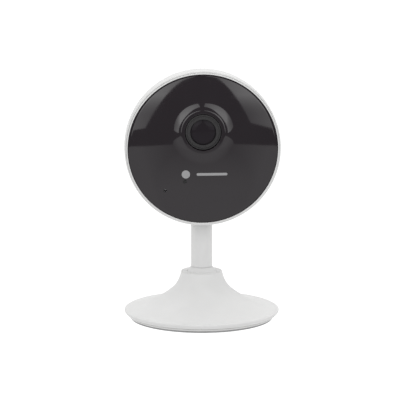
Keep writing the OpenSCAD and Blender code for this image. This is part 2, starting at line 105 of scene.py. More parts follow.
def off_centre(node):
    """How far a CAD node's centre stands across and up from the head's centre."""
    x, z = centre_xz(node)
    return x - HEAD_X, z - HEAD_Z


# ---------------------------------------------------------------- mesh helpers

def on_base():
    """Frame of the pieces turned about the stem's axis."""
    return Matrix.Identity(4)


def on_head(x=0.0, up=0.0):
    """Frame of the head's pieces: X stays, Y points up and Z points forward."""
    return Matrix.Translation((HEAD_X + x, 0, HEAD_Z + up)) @ Matrix.Rotation(math.pi / 2, 4, "X")


def add_mesh(name, points, faces, place, sharp=SHARP_EDGE):
    """A mesh object from points in millimetres, with its normals outward and its soft edges smooth."""
    mesh = bpy.data.meshes.new(name)
    scaled = Matrix.Scale(MM, 4) @ place
    mesh.from_pydata([scaled @ Vector(p) for p in points], [], faces)
    work = bmesh.new()
    work.from_mesh(mesh)
    bmesh.ops.remove_doubles(work, verts=work.verts, dist=1e-7)
    bmesh.ops.recalc_face_normals(work, faces=work.faces)
    work.to_mesh(mesh)
    work.free()
    piece = bpy.data.objects.new(name, mesh)
    bpy.context.scene.collection.objects.link(piece)
    soften(piece, sharp)
    return piece


def soften(piece, sharp=SHARP_EDGE):
    """Smooth shading, broken at edges sharper than the angle."""
    piece.data.shade_smooth()
    piece.data.set_sharp_from_angle(angle=math.radians(sharp))


def fillet(profile, steps=5):
    """Rounds an outline's corners: a corner (r, h) stays, and (r, h, radius) is rounded off."""
    rounded = []
    count = len(profile)
    most = 0.49  # two roundings on one short side must not meet
    for i, corner in enumerate(profile):
        here = Vector(corner[:2])
        if len(corner) < 3:
            rounded.append(tuple(here))
            continue
        before = Vector(profile[i - 1][:2]) - here
        after = Vector(profile[(i + 1) % count][:2]) - here
        reach = min(corner[2], before.length * most, after.length * most)
        start = here + before.normalized() * reach
        end = here + after.normalized() * reach
        for k in range(steps + 1):
            t = k / steps
            rounded.append(tuple(start * (1 - t) ** 2 + here * 2 * t * (1 - t) + end * t * t))
    return rounded


def lathe(name, profile, place, turns=TURNS):
    """Turns a closed outline of (r, h) points about the Z axis. Points with r = 0 are poles."""
    points, rings = [], []
    for r, h in profile:
        if r < 1e-6:
            rings.append([len(points)] * turns)
            points.append((0, 0, h))
            continue
        rings.append(list(range(len(points), len(points) + turns)))
        for k in range(turns):
            a = 2 * math.pi * k / turns
            points.append((r * math.cos(a), r * math.sin(a), h))
    faces = []
    for i, ring in enumerate(rings):
        following = rings[(i + 1) % len(rings)]
        if ring[0] == ring[1] and following[0] == following[1]:
            continue
        for k in range(turns):
            n = (k + 1) % turns
            face = []
            for v in (ring[k], ring[n], following[n], following[k]):
                if v not in face:
                    face.append(v)
            faces.append(face)
    return add_mesh(name, points, faces, place)


def slab(name, outline, low, high, place):
    """A flat outline of (x, y) points raised from one height to another."""
    count = len(outline)
    points = [(x, y, low) for x, y in outline] + [(x, y, high) for x, y in outline]
    faces = [list(range(count)), list(range(count, 2 * count))]
    for i in range(count):
        n = (i + 1) % count
        faces.append([i, n, count + n, count + i])
    return add_mesh(name, points, faces, place)


def pill(width, height, radius, steps=8, x=0.0, y=0.0):
    """A rectangle with round corners, centred on x, y."""
    points = []
    for corner in range(4):
        sx = (1, -1, -1, 1)[corner]
        sy = (1, 1, -1, -1)[corner]
        for k in range(steps + 1):
            a = math.pi / 2 * (corner + k / steps)
            points.append((x + sx * (width / 2 - radius) + radius * math.cos(a),
                           y + sy * (height / 2 - radius) + radius * math.sin(a)))
    return points


def join(name, pieces):
    """Several meshes as one object."""
    work = bmesh.new()
    for piece in pieces:
        work.from_mesh(piece.data)
    mesh = bpy.data.meshes.new(name)
    work.to_mesh(mesh)
    work.free()
    for piece in pieces:
        bpy.data.objects.remove(piece)
    joined = bpy.data.objects.new(name, mesh)
    bpy.context.scene.collection.objects.link(joined)
    soften(joined)
    return joined


def carve(piece, cutter, sharp=SHARP_EDGE):
    """Takes the cutter's shape out of a piece and removes the cutter."""
    cut = piece.modifiers.new("cut", "BOOLEAN")
    cut.operation = "DIFFERENCE"
    cut.solver = "EXACT"
    cut.use_self = False
    cut.object = cutter
    graph = bpy.context.evaluated_depsgraph_get()
    mesh = bpy.data.meshes.new_from_object(piece.evaluated_get(graph))
    piece.modifiers.clear()
    piece.data = mesh
    bpy.data.objects.remove(cutter)
    soften(piece, sharp)


# ---------------------------------------------------------------- materials

def map_range(tree, source, start, end, low, high):
    """A source between start and end as a number between low and high."""
    made = tree.nodes.new("ShaderNodeMapRange")
    made.inputs["From Min"].default_value = start
    made.inputs["From Max"].default_value = end
    made.inputs["To Min"].default_value = low
    made.inputs["To Max"].default_value = high
    tree.links.new(source, made.inputs["Value"])
    return made.outputs["Result"]


class Finish:
    """A node material in the making, with short calls for the nodes that repeat."""

    def __init__(self, name, color, roughness, **inputs):
        self.material = bpy.data.materials.new(name)
        self.material.use_nodes = True
        self.tree = self.material.node_tree
        self.shader = self.tree.nodes["Principled BSDF"]
        self.shader.inputs["Base Color"].default_value = (*color, 1)
        self.shader.inputs["Roughness"].default_value = roughness
        for key, value in inputs.items():
            self.shader.inputs[key.replace("_", " ")].default_value = value
        place = self.node("ShaderNodeTexCoord")
        self.at = place.outputs["Object"]
        self.bumps = None

    def node(self, kind, **values):
        made = self.tree.nodes.new(kind)
        for key, value in values.items():
            setattr(made, key, value)
        return made

    def link(self, source, target):
        self.tree.links.new(source, target)

    def noise(self, size_mm, detail, rough=0.5, stretch=None):
        """Noise whose blotches are about that many millimetres across."""
        made = self.node("ShaderNodeTexNoise")
        made.inputs["Scale"].default_value = 1 / (size_mm * MM)
        made.inputs["Detail"].default_value = detail
        made.inputs["Roughness"].default_value = rough
        source = self.at
        if stretch:
            mapping = self.node("ShaderNodeMapping")
            mapping.inputs["Scale"].default_value = stretch
            self.link(self.at, mapping.inputs["Vector"])
            source = mapping.outputs["Vector"]
        self.link(source, made.inputs["Vector"])
        return made.outputs["Fac"]

    def cells(self, size_mm):
        """Rounded cells about that many millimetres across."""
        made = self.node("ShaderNodeTexVoronoi")
        made.inputs["Scale"].default_value = 1 / (size_mm * MM)
        self.link(self.at, made.inputs["Vector"])
        return made.outputs["Distance"]

    def spread(self, source, low, high):
        """Noise as a number between low and high; most of a noise lies between 0.3 and 0.7."""
        return map_range(self.tree, source, 0.3, 0.7, low, high)

    def color(self, source, first, second):
        """Base colour that goes from first to second with the source."""
        made = self.node("ShaderNodeMix", data_type="RGBA")
        made.inputs["A"].default_value = (*first, 1)
        made.inputs["B"].default_value = (*second, 1)
        self.link(source, made.inputs["Factor"])
        self.link(made.outputs["Result"], self.shader.inputs["Base Color"])

    def roughness(self, source, low, high):
        self.link(self.spread(source, low, high), self.shader.inputs["Roughness"])

    def bump(self, source, height_mm):
        """Surface relief of that height, on top of any relief stated before."""
        made = self.node("ShaderNodeBump")
        made.inputs["Strength"].default_value = 1.0
        made.inputs["Distance"].default_value = height_mm * MM
        self.link(source, made.inputs["Height"])
        if self.bumps:
            self.link(self.bumps, made.inputs["Normal"])
        self.bumps = made.outputs["Normal"]
        self.link(self.bumps, self.shader.inputs["Normal"])


def moulded_plastic(name, color, roughness, grain_mm=0.22, relief_mm=0.006, shade=0.97):
    """Matte moulded plastic: a fine spark-eroded grain and a faint cloudiness."""
    finish = Finish(name, color, roughness, IOR=1.48)
    cloud = finish.noise(9, 3)
    finish.color(finish.spread(cloud, 0, 1), [c * shade for c in color], color)
    finish.roughness(finish.noise(2.5, 3), roughness - 0.05, roughness + 0.07)
    finish.bump(finish.cells(grain_mm), relief_mm)
    finish.bump(finish.noise(0.09, 2), relief_mm * 0.5)
    return finish.material


def polished_acrylic(name):
    """Glossy black acrylic: a very even surface with the slightest waviness and haze."""
    finish = Finish(name, (0.012, 0.0072, 0.0113), 0.045, IOR=1.49)
    finish.color(finish.spread(finish.noise(14, 2), 0, 1), (0.0112, 0.0063, 0.0105), (0.0131, 0.0081, 0.0124))
    finish.roughness(finish.noise(5, 4), 0.03, 0.06)
    finish.bump(finish.noise(7, 1), 0.0012)
    return finish.material


def rubber(name, color, grain_mm=0.35, relief_mm=0.02):
    """Matte rubber, foam or sleeving with a coarse grain."""
    finish = Finish(name, color, 0.75, IOR=1.5)
    finish.color(finish.spread(finish.noise(4, 4), 0, 1), [c * 0.85 for c in color], color)
    finish.roughness(finish.noise(1.5, 3), 0.66, 0.84)
    finish.bump(finish.cells(grain_mm), relief_mm)
    return finish.material


def plated_metal(name, color, roughness, brush=(1, 1, 9)):
    """Plated steel with rolling marks that are finest along the axis with the highest brush number."""
    finish = Finish(name, color, roughness, Metallic=1.0)
    lines = finish.noise(1.2, 4, 0.6, brush)
    finish.color(finish.spread(lines, 0, 1), [c * 0.82 for c in color], color)
    finish.roughness(lines, roughness - 0.08, roughness + 0.12)
    finish.bump(lines, 0.004)
    return finish.material


def coated_glass(name, tint, coat):
    """Lens glass, dark with depth, with a faint anti-reflection tint, and a painted sheen: its colour turns
    lighter where the glass is seen edge-on.
    """
    finish = Finish(name, tint, 0.02, IOR=1.5, Specular_IOR_Level=0.05)
    finish.shader.inputs["Specular Tint"].default_value = (*coat, 1)
    # painted sheen: the base colour turns lighter where the glass is seen edge-on
    painted_sheen_weight = finish.node("ShaderNodeLayerWeight")
    painted_sheen_weight.inputs["Blend"].default_value = 0.35
    finish.color(painted_sheen_weight.outputs["Facing"], tint, [c * 1.8 + 0.004 for c in tint])
    finish.roughness(finish.noise(3, 3), 0.01, 0.03)
    finish.bump(finish.noise(4, 1), 0.0004)
    return finish.material


def clear_plastic(name, tint):
    """Tinted clear plastic with slight moulding marks."""
    finish = Finish(name, tint, 0.08, IOR=1.49)
    finish.shader.inputs["Transmission Weight"].default_value = 0.9
    finish.roughness(finish.noise(1.2, 3), 0.04, 0.12)
    finish.bump(finish.noise(0.8, 2), 0.003)
    return finish.material


def circuit_board(name):
    """Solder mask over copper tracks that run in short straight stretches."""
    finish = Finish(name, (0.012, 0.09, 0.04), 0.32, IOR=1.5)
    tracks = finish.node("ShaderNodeTexBrick")
    tracks.inputs["Scale"].default_value = 1 / (3 * MM)
    tracks.inputs["Mortar Size"].default_value = 0.035
    finish.link(finish.at, tracks.inputs["Vector"])
    finish.color(tracks.outputs["Fac"], (0.008, 0.07, 0.03), (0.02, 0.15, 0.06))
    finish.roughness(finish.noise(2, 3), 0.26, 0.4)
    finish.bump(tracks.outputs["Fac"], 0.02)
    return finish.material


WAVE_SCALE = 0.32  # a wave texture of this scale has about one band to the unit


def wound_wire(name, color, pitch_mm=0.25):
    """Metal with the ridges of a close winding, and painted shade that darkens the grooves between them."""
    finish = Finish(name, color, 0.35, Metallic=0.8)
    wave = finish.node("ShaderNodeTexWave")
    wave.inputs["Scale"].default_value = WAVE_SCALE / (pitch_mm * MM)
    wave.inputs["Distortion"].default_value = 0.6
    finish.link(finish.at, wave.inputs["Vector"])
    # painted shade: the colour darkens in the grooves between the turns, where the relief is lowest
    finish.color(wave.outputs["Fac"], [c * 0.45 for c in color], color)
    finish.roughness(finish.noise(1, 3), 0.28, 0.45)
    finish.bump(wave.outputs["Fac"], 0.05)
    return finish.material


WHITE = (0.80, 0.80, 0.795)
FINISHES = {
    "white_plastic": moulded_plastic("white_plastic", WHITE, 0.48),
    "plate_plastic": moulded_plastic("plate_plastic", (0.74, 0.74, 0.735), 0.55, 0.3, 0.01),
    "natural_nylon": moulded_plastic("natural_nylon", (0.62, 0.6, 0.54), 0.5, 0.5, 0.006),
    "pad_rubber": rubber("pad_rubber", (0.36, 0.36, 0.365)),
    "black_acrylic": polished_acrylic("black_acrylic"),
    "adhesive_foam": rubber("adhesive_foam", (0.08, 0.08, 0.082), 0.4, 0.05),
    "black_rubber": rubber("black_rubber", (0.02, 0.02, 0.021), 0.25, 0.01),
    "black_plastic": moulded_plastic("black_plastic", (0.0145, 0.013, 0.0145), 0.38, 0.18, 0.004, 0.8),
    "lens_glass": coated_glass("lens_glass", (0.0215, 0.018, 0.0215), (0.95, 0.95, 1.0)),
    "filter_glass": coated_glass("filter_glass", (0.12, 0.02, 0.035), (1.0, 0.6, 0.7)),
    "copper_coil": wound_wire("copper_coil", (0.7, 0.32, 0.14)),
    "zinc_steel": plated_metal("zinc_steel", (0.6, 0.61, 0.62), 0.32),
    "spring_steel": plated_metal("spring_steel", (0.42, 0.42, 0.44), 0.3, (9, 1, 1)),
    "black_screws": plated_metal("black_screws", (0.05, 0.05, 0.055), 0.4, (1, 9, 1)),
    "magnet": moulded_plastic("magnet", (0.055, 0.053, 0.052), 0.6, 0.15, 0.02, 0.7),
    "circuit_board": circuit_board("circuit_board"),
    "chip_package": moulded_plastic("chip_package", (0.022, 0.022, 0.024), 0.5, 0.12, 0.004, 0.75),
    "thermal_gel": rubber("thermal_gel", (0.3, 0.4, 0.5), 0.6, 0.01),
    "lamp_body": moulded_plastic("lamp_body", (0.72, 0.7, 0.62), 0.3, 0.3, 0.003),
    "clear_acrylic": clear_plastic("clear_acrylic", (0.03, 0.03, 0.032)),
    "speaker_frame": plated_metal("speaker_frame", (0.1, 0.1, 0.11), 0.42, (1, 1, 3)),
    "wire_sleeve": rubber("wire_sleeve", (0.03, 0.03, 0.03), 0.3, 0.004),
    "antenna_copper": wound_wire("antenna_copper", (0.66, 0.36, 0.14), 1.2),
    "switch_metal": plated_metal("switch_metal", (0.5, 0.5, 0.51), 0.3, (5, 1, 1)),
    "face_print": moulded_plastic("face_print", (0.34, 0.34, 0.345), 0.45, 0.12, 0.002),
}


def paint(piece, finish):
    """Gives a piece one finish all over."""
    piece.data.materials.clear()
    piece.data.materials.append(FINISHES[finish])


def finish_piece(piece, body, slot, replaced=(), material=None):
    """Every made piece: its finish, the body that it rides on, and the CAD nodes that it stands for."""
    paint(piece, material or slot)
    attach(piece, body)
    if replaced:
        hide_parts(*replaced)
    return piece


def paint_frame():
    """Every CAD node gets its slot's finish, so that the ones kept as they are have one."""
    for part in frame["record"]["subparts"]:
        for entry in frame["nodes"][part["node"]].material_slots:
            entry.material = FINISHES[part["material_slot"]]


# ---------------------------------------------------------------- base

FLARE_R = BASE_R - 0.5  # where the flared top starts, just inside the rim
NECK_R = 8.4  # outside of the collar round the ball
RIM_Z = 4.0  # height of the flared top's outer edge
FLARE_POWER = 1.9  # curve of the flared top
FILLET_POWER = 19  # curve of the fillet under the collar: the higher, the tighter
FILLET_SHARE = 0.26  # the fillet's share of the rise from the rim to the collar
SHELL_T = 1.2  # thickness of the flared top
SEAM_Z = 1.8  # seam between the bottom plate and the shell
PLATE_TOP_Z = 2.4
RECESS_R = 29.6  # recess in the shell that takes the bottom plate
SOCKET_R = 8.0  # bore that takes the ball's seat
SOCKET_OUTER_R = 9.8  # outside of the wall round the bore
SOCKET_FOOT_Z = 5.6
SEAT_TOP_Z = 18.2
HOLLOW_R = 11.2  # the curved hollow under the flared top starts here
HOLLOW_W = 12  # and is this wide


def flare_z(r):
    """Height of the base's flared top at a radius: a hollow cone with a tight fillet up to the collar."""
    inward = max(0.0, FLARE_R - r) / (FLARE_R - NECK_R)
    shape = FILLET_SHARE * inward ** FILLET_POWER + (1 - FILLET_SHARE) * inward ** FLARE_POWER
    return RIM_Z + (COLLAR_Z - RIM_Z) * shape


def sphere_r(z, radius):
    """Radius of the ball, or of its seat, at a height."""
    return math.sqrt(max(0.0, radius * radius - (z - BALL_Z) ** 2))


def make_base_shell():
    """Base casing: rim, flared top, opening for the ball, bore of its seat, and the hollow inside."""
    flare_steps, opening_steps, hollow_steps = 90, 8, 16
    rim = [(RECESS_R, SEAM_Z), (BASE_R - 1.0, SEAM_Z, 0.25), (BASE_R, SEAM_Z + 1.1, 0.5),
           (BASE_R - 0.02, RIM_Z - 0.35, 0.4)]
    flare = []
    for i in range(1, flare_steps + 1):
        r = NECK_R + (FLARE_R - NECK_R) * (1 - i / flare_steps) ** 1.5
        flare.append((r, flare_z(r)))
    flare[-1] = (NECK_R, COLLAR_Z, 0.35)
    opening = []
    for i in range(opening_steps + 1):
        z = COLLAR_Z - (COLLAR_Z - SEAT_TOP_Z) * i / opening_steps
        opening.append((sphere_r(z, BALL_R + 0.05), z))
    opening[0] = (opening[0][0] + 0.05, COLLAR_Z, 0.2)
    bore = [(SOCKET_R, SEAT_TOP_Z), (SOCKET_R, SOCKET_FOOT_Z), (SOCKET_OUTER_R, SOCKET_FOOT_Z),
            (SOCKET_OUTER_R, flare_z(HOLLOW_R + SHELL_T) - SHELL_T)]
    hollow = []
    for i in range(hollow_steps + 1):
        r = HOLLOW_R + HOLLOW_W * i / hollow_steps
        hollow.append((r, flare_z(r + SHELL_T) - SHELL_T))
    under = [(HOLLOW_R + HOLLOW_W, PLATE_TOP_Z), (RECESS_R, PLATE_TOP_Z)]
    shell = lathe("base_casing", fillet(rim + flare + opening + bore + hollow + under), on_base())
    return finish_piece(shell, "base", "white_plastic", ["base_shell"])


def make_bottom_plate():
    """Plate that closes the base, with a narrow groove up to the shell."""
    r = (plate_high.x - plate_low.x) / 2
    low = plate_low.z
    plate = lathe("base_bottom_plate", fillet([
        (0, low), (r - 0.6, low, 0.3), (r + 0.2, SEAM_Z - 0.14, 0.25), (RECESS_R - 0.1, SEAM_Z - 0.08),
        (RECESS_R - 0.2, PLATE_TOP_Z), (0, PLATE_TOP_Z)]), on_base())
    return finish_piece(plate, "base", "plate_plastic", ["bottom_plate"])


def make_foot_pad():
    """Soft pad with two shallow moulded rings underneath."""
    r = (pad_high.x - pad_low.x) / 2
    top = pad_high.z
    depth, side, width, soft = 0.3, 0.3, 1.2, 0.1
    under = []
    for groove in (26.5, 12.0):
        under += [(groove, 0, soft), (groove - side, depth, soft), (groove - width + side, depth, soft),
                  (groove - width, 0, soft)]
    pad = lathe("foot_ring_pad", fillet([(r, top), (r, 0, 0.35)] + under + [(0, 0), (0, top)]), on_base())
    return finish_piece(pad, "base", "pad_rubber", ["foot_pad"])


def make_ball():
    """The ball, flat underneath and flat on top, where the stem stands on it."""
    low, top = ball_low.z, stem_low.z - 0.05
    steps = 40
    start = math.asin((low - BALL_Z) / BALL_R)
    end = math.asin((top - BALL_Z) / BALL_R)
    points = [(0, low)]
    for i in range(steps + 1):
        a = start + (end - start) * i / steps
        points.append((BALL_R * math.cos(a), BALL_Z + BALL_R * math.sin(a)))
    points.append((0, top))
    ball = lathe("joint_ball", points, on_base(), BALL_TURNS)
    return finish_piece(ball, "ball", "white_plastic", ["pivot_ball"])


def make_stem():
    """Straight tube, with a narrow bore for the ball's stud and a wide one above it."""
    r = (stem_high.x - stem_low.x) / 2
    low, top = stem_low.z, stem_high.z
    bore, wide = 2.05, 3.0
    step = low + 9.1
    outline = [(bore, low), (r, low, 0.3), (r, top, 0.2), (wide, top), (wide, step), (bore, step)]
    stem = lathe("stem_post", fillet(outline), on_base(), BALL_TURNS)
    return finish_piece(stem, "stem", "white_plastic", ["stem_tube"])


# ---------------------------------------------------------------- head casings

BELT_S = 5.5  # the head is straight in front of this depth and curves behind it
BACK_R = 22.0  # radius of the flat back
STEP_S = 8.3  # the housing's wall is thin from here to its rim, over the front frame
LIP_T = 0.6  # thickness of the thin part
SLOT_W = 10.0
SLOT_FRONT_S = 9.2
SLOT_TOP = -19.0  # upper end of the stem's slot, from the head's centre
FRAME_INNER_R = 21.6
CASE_SCREW_R = 24.5  # how far the case screws stand from the head's centre


def back_curve(width, depth):
    """Quarter ellipse from the belt of the head round to its flat back."""
    points = []
    steps = 36
    for i in range(steps + 1):
        a = math.pi / 2 * i / steps
        points.append((BACK_R + width * math.cos(a), BELT_S - depth * math.sin(a)))
    return points


def slot_cutter():
    """The slot that the stem swings in, round at its rear end."""
    outline = []
    steps = 24
    half = SLOT_W / 2
    low_s = -BACK_S + 2
    for i in range(steps + 1):
        a = math.pi * i / steps
        outline.append((-half * math.cos(a), low_s + half - half * math.sin(a)))
    outline += [(half, SLOT_FRONT_S), (-half, SLOT_FRONT_S)]
    turned = on_head(0, SLOT_TOP) @ Matrix.Rotation(math.pi / 2, 4, "X")
    return slab("slot", outline, 0, HEAD_R + SLOT_TOP + 1, turned)


def hole_cutter(name, r, at, bevel=0.25):
    """A round hole through the back wall with a small chamfer outside."""
    past = 0.5
    inner = -(BACK_S - WALL) + 1
    return lathe(name, [(0, inner), (r, inner), (r, -BACK_S + bevel), (r + bevel + past, -BACK_S - past),
                        (0, -BACK_S - past)], on_head(*at), GRILLE_TURNS)


def make_rear_housing():
    """Rear half of the head, with its grille, reset opening, USB opening, card slot and the stem's slot."""
    lip_r = HEAD_R - LIP_T
    step_r = HEAD_R - WALL
    back = back_curve(HEAD_R - BACK_R, BACK_S + BELT_S)
    outside = [(lip_r, RIM_S), (HEAD_R, RIM_S, 0.35)] + back + [(0, -BACK_S)]
    inner = back_curve(step_r - BACK_R, BACK_S + BELT_S - WALL)
    inside = [(0, -BACK_S + WALL)] + inner[::-1] + [(step_r, STEP_S), (lip_r, STEP_S)]
    housing = lathe("rear_casing", fillet(outside + inside), on_head())
    grille_r, pitch = 0.55, 2.3
    speaker_x, speaker_up = off_centre("speaker")
    cutters = [hole_cutter("grille", grille_r, (speaker_x, speaker_up))]
    for ring in (1, 2, 3):
        for k in range(6 * ring):
            a = 2 * math.pi * k / (6 * ring)
            at = (speaker_x + pitch * ring * math.cos(a), speaker_up + pitch * ring * math.sin(a))
            cutters.append(hole_cutter("grille", grille_r, at))
    cutters.append(hole_cutter("reset_hole", 1.75, off_centre("reset_button"), 0.3))
    usb_mouth = pill(8.2, 3.5, 0.9, y=off_centre("usb_socket")[1])
    cutters.append(slab("usb_hole", usb_mouth, -BACK_S - 1, -BACK_S + WALL + 1, on_head()))
    card_up = off_centre("card_socket")[1]
    card_s = -(card_low.y + card_high.y) / 2
    side = on_head(0, card_up) @ Matrix.Translation((0, 0, card_s)) @ Matrix.Rotation(math.pi / 2, 4, "Y")
    cutters.append(slab("card_hole", pill(1.9, 12.2, 0.6), BACK_R + 2, HEAD_R + 2, side))
    carve(housing, join("cutters", cutters))
    carve(housing, slot_cutter())
    return finish_piece(housing, "head", "white_plastic", ["rear_housing"])


def make_front_frame():
    """Narrow white bezel with the shelf behind the cover, screw holes and a notch for the stem's slot."""
    back_s = -frame_high.y
    shelf_s = 8.5
    wall_r, cover_r, step_s = HEAD_R - WALL - 0.1, COVER_R + 0.1, STEP_S + 0.05
    ring = lathe("front_bezel", fillet([
        (FRAME_INNER_R, back_s), (wall_r, back_s), (wall_r, step_s), (FRAME_R, step_s),
        (FRAME_R, FRAME_FRONT_S, 0.22), (cover_r, FRAME_FRONT_S, 0.2), (cover_r, shelf_s),
        (FRAME_INNER_R, shelf_s)], 6), on_head())
    low, high = back_s - 1, shelf_s + 1
    seat_s, shank_r, wide_r, boot_r = back_s + 0.6, 1, 2.1, 3.4
    cutters = []
    for degrees in (30, 150, 205, 335):
        a = math.radians(degrees)
        cutters.append(lathe("screw_hole", [
            (0, low), (shank_r, low), (shank_r, seat_s), (wide_r, seat_s), (wide_r, high), (0, high)],
            on_head(CASE_SCREW_R * math.cos(a), CASE_SCREW_R * math.sin(a)), HOLE_TURNS))
    cutters.append(lathe("mic_clearance", [(0, low), (boot_r, low), (boot_r, high), (0, high)],
                         on_head(*off_centre("microphone")), KEY_TURNS))
    carve(ring, join("cutters", cutters))
    half, reach, top = SLOT_W / 2, HEAD_R + 2, SLOT_TOP - 1
    notch = [(-half, -reach), (half, -reach), (half, top), (-half, top)]
    carve(ring, slab("notch", notch, low, SLOT_FRONT_S, on_head()))
    return finish_piece(ring, "head", "white_plastic", ["front_frame"])


# ---------------------------------------------------------------- front cover

DOME_H = 3.0  # how far the dome's middle stands before its edge
COVER_T = 1.8  # thickness of the cover
COVER_INNER_R = 27.5  # inside of the cover's rim
OPENING_R = 7.5  # the lens's opening
CREST_R = 8.5  # the low collar round it is highest up to here,
SHOULDER_R = 9.2  # slopes down from here
COLLAR_FOOT_R = 13.4  # and runs into the dome here
COLLAR_H = 0.56
EDGE_DROP = ((0.0, 0.12), (0.02, 0.06), (0.06, 0.03), (0.12, 0.01))  # the opening's rounded edge
COVER_SHARP = 50  # the cover's edges are softer than those of the other pieces
COVER_EDGE_S = COVER_BACK_S + COVER_T
DOME_RADIUS = (COVER_R ** 2 + DOME_H ** 2) / (2 * DOME_H)


def dome_s(distance):
    """Depth of the cover's dome at a distance from the head's centre."""
    return COVER_EDGE_S + DOME_H - DOME_RADIUS + math.sqrt(DOME_RADIUS ** 2 - distance ** 2)


def collar_rise(rho):
    """How far the low collar stands above the dome at a distance from the lens's axis."""
    slope = 2 * COLLAR_H / (COLLAR_FOOT_R - CREST_R)
    if rho > SHOULDER_R:
        return slope * max(0.0, COLLAR_FOOT_R - rho) ** 2 / (2 * (COLLAR_FOOT_R - SHOULDER_R))
    return COLLAR_H - slope * max(0.0, rho - CREST_R) ** 2 / (2 * (SHOULDER_R - CREST_R))


def from_lens(radius, k):
    """Direction k of a turn about the lens's axis, and how far away a circle about the head's centre is."""
    a = 2 * math.pi * k / TURNS
    across, along = math.cos(a), math.sin(a)
    return across, along, -LENS_UP * along + math.sqrt(radius ** 2 - (LENS_UP * across) ** 2)


def make_front_cover():
    """The dome and the lens collar as one skin: rings about the lens that open out to the cover's edge."""
    collar_steps, outer_steps, inner_steps = 60, 26, 10
    round_r, round_drop = 0.25, 0.12
    rings = [OPENING_R + out for out, _ in EDGE_DROP]
    rings += [OPENING_R + 0.2 + 5.9 * k / collar_steps for k in range(collar_steps + 1)]
    points, faces = [], []
    for ring in range(len(rings) + outer_steps):
        for k in range(TURNS):
            across, along, reach = from_lens(COVER_R, k)
            if ring < len(rings):
                rho = rings[ring]
            else:
                rho = rings[-1] + (reach - rings[-1]) * ((ring - len(rings) + 1) / outer_steps)
            x, up = rho * across, LENS_UP + rho * along
            distance = min(math.hypot(x, up), COVER_R)
            s = dome_s(distance) + collar_rise(rho)
            if ring < len(EDGE_DROP):
                s -= EDGE_DROP[ring][1]
            edge = max(0.0, distance - (COVER_R - round_r)) / round_r
            points.append((x, up, s - round_drop * edge ** 2))
    for radius in (COVER_R, COVER_INNER_R):
        for k in range(TURNS):
            across, along, reach = from_lens(radius, k)
            points.append((reach * across, LENS_UP + reach * along, COVER_BACK_S))
    for i in range(inner_steps + 1):
        for k in range(TURNS):
            across, along, reach = from_lens(COVER_INNER_R, k)
            rho = reach + (OPENING_R - reach) * i / inner_steps
            x, up = rho * across, LENS_UP + rho * along
            points.append((x, up, dome_s(math.hypot(x, up)) - COVER_T))
    total = len(points) // TURNS
    for ring in range(total):
        following = (ring + 1) % total
        for k in range(TURNS):
            n = (k + 1) % TURNS
            faces.append([ring * TURNS + k, ring * TURNS + n, following * TURNS + n, following * TURNS + k])
    cover = add_mesh("front_window", points, faces, on_head(), COVER_SHARP)
    cutters = []
    for node, r in (("microphone", 0.65), ("light_guide", 0.8)):
        at = off_centre(node)
        front = dome_s(math.hypot(*at)) + 0.2
        cutters.append(lathe("pinhole", [(0, 8), (r, 8), (r, front), (0, front)], on_head(*at), HOLE_TURNS))
    carve(cover, join("cutters", cutters), COVER_SHARP)
    return finish_piece(cover, "head", "black_acrylic", ["front_cover"])


def printed_pill(x, up, width, height):
    """A thin printed shape with round ends that follows the dome."""
    columns = 40
    proud, sunk = 0.02, 0.1
    end_r = height / 2
    outline, faces = [], []
    for i in range(columns + 1):
        across = -width / 2 * math.cos(math.pi * i / columns)
        past = max(0.0, abs(across) - (width / 2 - end_r))
        half = math.sqrt(max(0.0, end_r ** 2 - past ** 2)) + 0.001
        outline += [(x + across, up - half), (x + across, up + half)]
    points = [(px, py, dome_s(math.hypot(px, py)) + proud) for px, py in outline]
    points += [(px, py, dome_s(math.hypot(px, py)) - sunk) for px, py in outline]
    under = len(outline)
    for i in range(columns):
        a, b, c, d = 2 * i, 2 * i + 1, 2 * i + 3, 2 * i + 2
        faces += [[a, b, c, d], [under + a, under + d, under + c, under + b]]
        faces += [[a, d, under + d, under + a], [b, under + b, under + c, c]]
    faces += [[0, under, under + 1, 1], [under - 2, under - 1, 2 * under - 1, 2 * under - 2]]
    return add_mesh("mark", points, faces, on_head())


def make_face_mark():
    """A plain printed dot and bar below the lens."""
    up = -10.1
    shapes = [printed_pill(-7.1, up, 3.4, 3.4), printed_pill(3.6, up, 12.6, 1.1)]
    return finish_piece(join("printed_mark", shapes), "head", "white_plastic", material="face_print")


# ---------------------------------------------------------------- lens

def make_lens():
    """Lens barrel with its flange in the cover's opening, and the glass in front of it."""
    flange_r = (barrel_high.x - barrel_low.x) / 2 + 0.2  # leaves a hairline gap in the opening
    front_s = -barrel_low.y
    back_s = -barrel_high.y
    glass_r = (glass_high.x - glass_low.x) / 2
    bore_r, flange_s, seat_s, rear_s = 3.4, 10.4, 11.8, 2.5
    barrel = lathe("lens_body", fillet([
        (bore_r, rear_s), (glass_r - 0.9, rear_s), (glass_r - 0.9, back_s), (6, back_s, 0.2), (6, flange_s),
        (flange_r, flange_s), (flange_r, front_s, 0.35), (flange_r - 0.55, front_s, 0.1),
        (flange_r - 0.7, front_s - 0.14, 0.06), (flange_r - 0.85, front_s, 0.1),
        (glass_r + 0.3, front_s, 0.15), (glass_r + 0.06, front_s - 0.3, 0.1),
        (glass_r + 0.06, seat_s), (bore_r, seat_s)]),
        on_head(0, LENS_UP), BARREL_TURNS)
    finish_piece(barrel, "head", "black_plastic", ["lens_barrel"])
    bulge, steps = 0.7, 24
    radius = (glass_r ** 2 + bulge ** 2) / (2 * bulge)
    apex = -glass_low.y
    dome = []
    for i in range(steps, -1, -1):
        r = glass_r * i / steps
        dome.append((r, apex - radius + math.sqrt(radius ** 2 - r ** 2)))
    foot = seat_s + 0.1
    glass = lathe("front_lens_glass", [(0, foot), (glass_r, foot)] + dome, on_head(0, LENS_UP), BALL_TURNS)
    finish_piece(glass, "head", "lens_glass", ["front_lens"])


# ---------------------------------------------------------------- socket and button

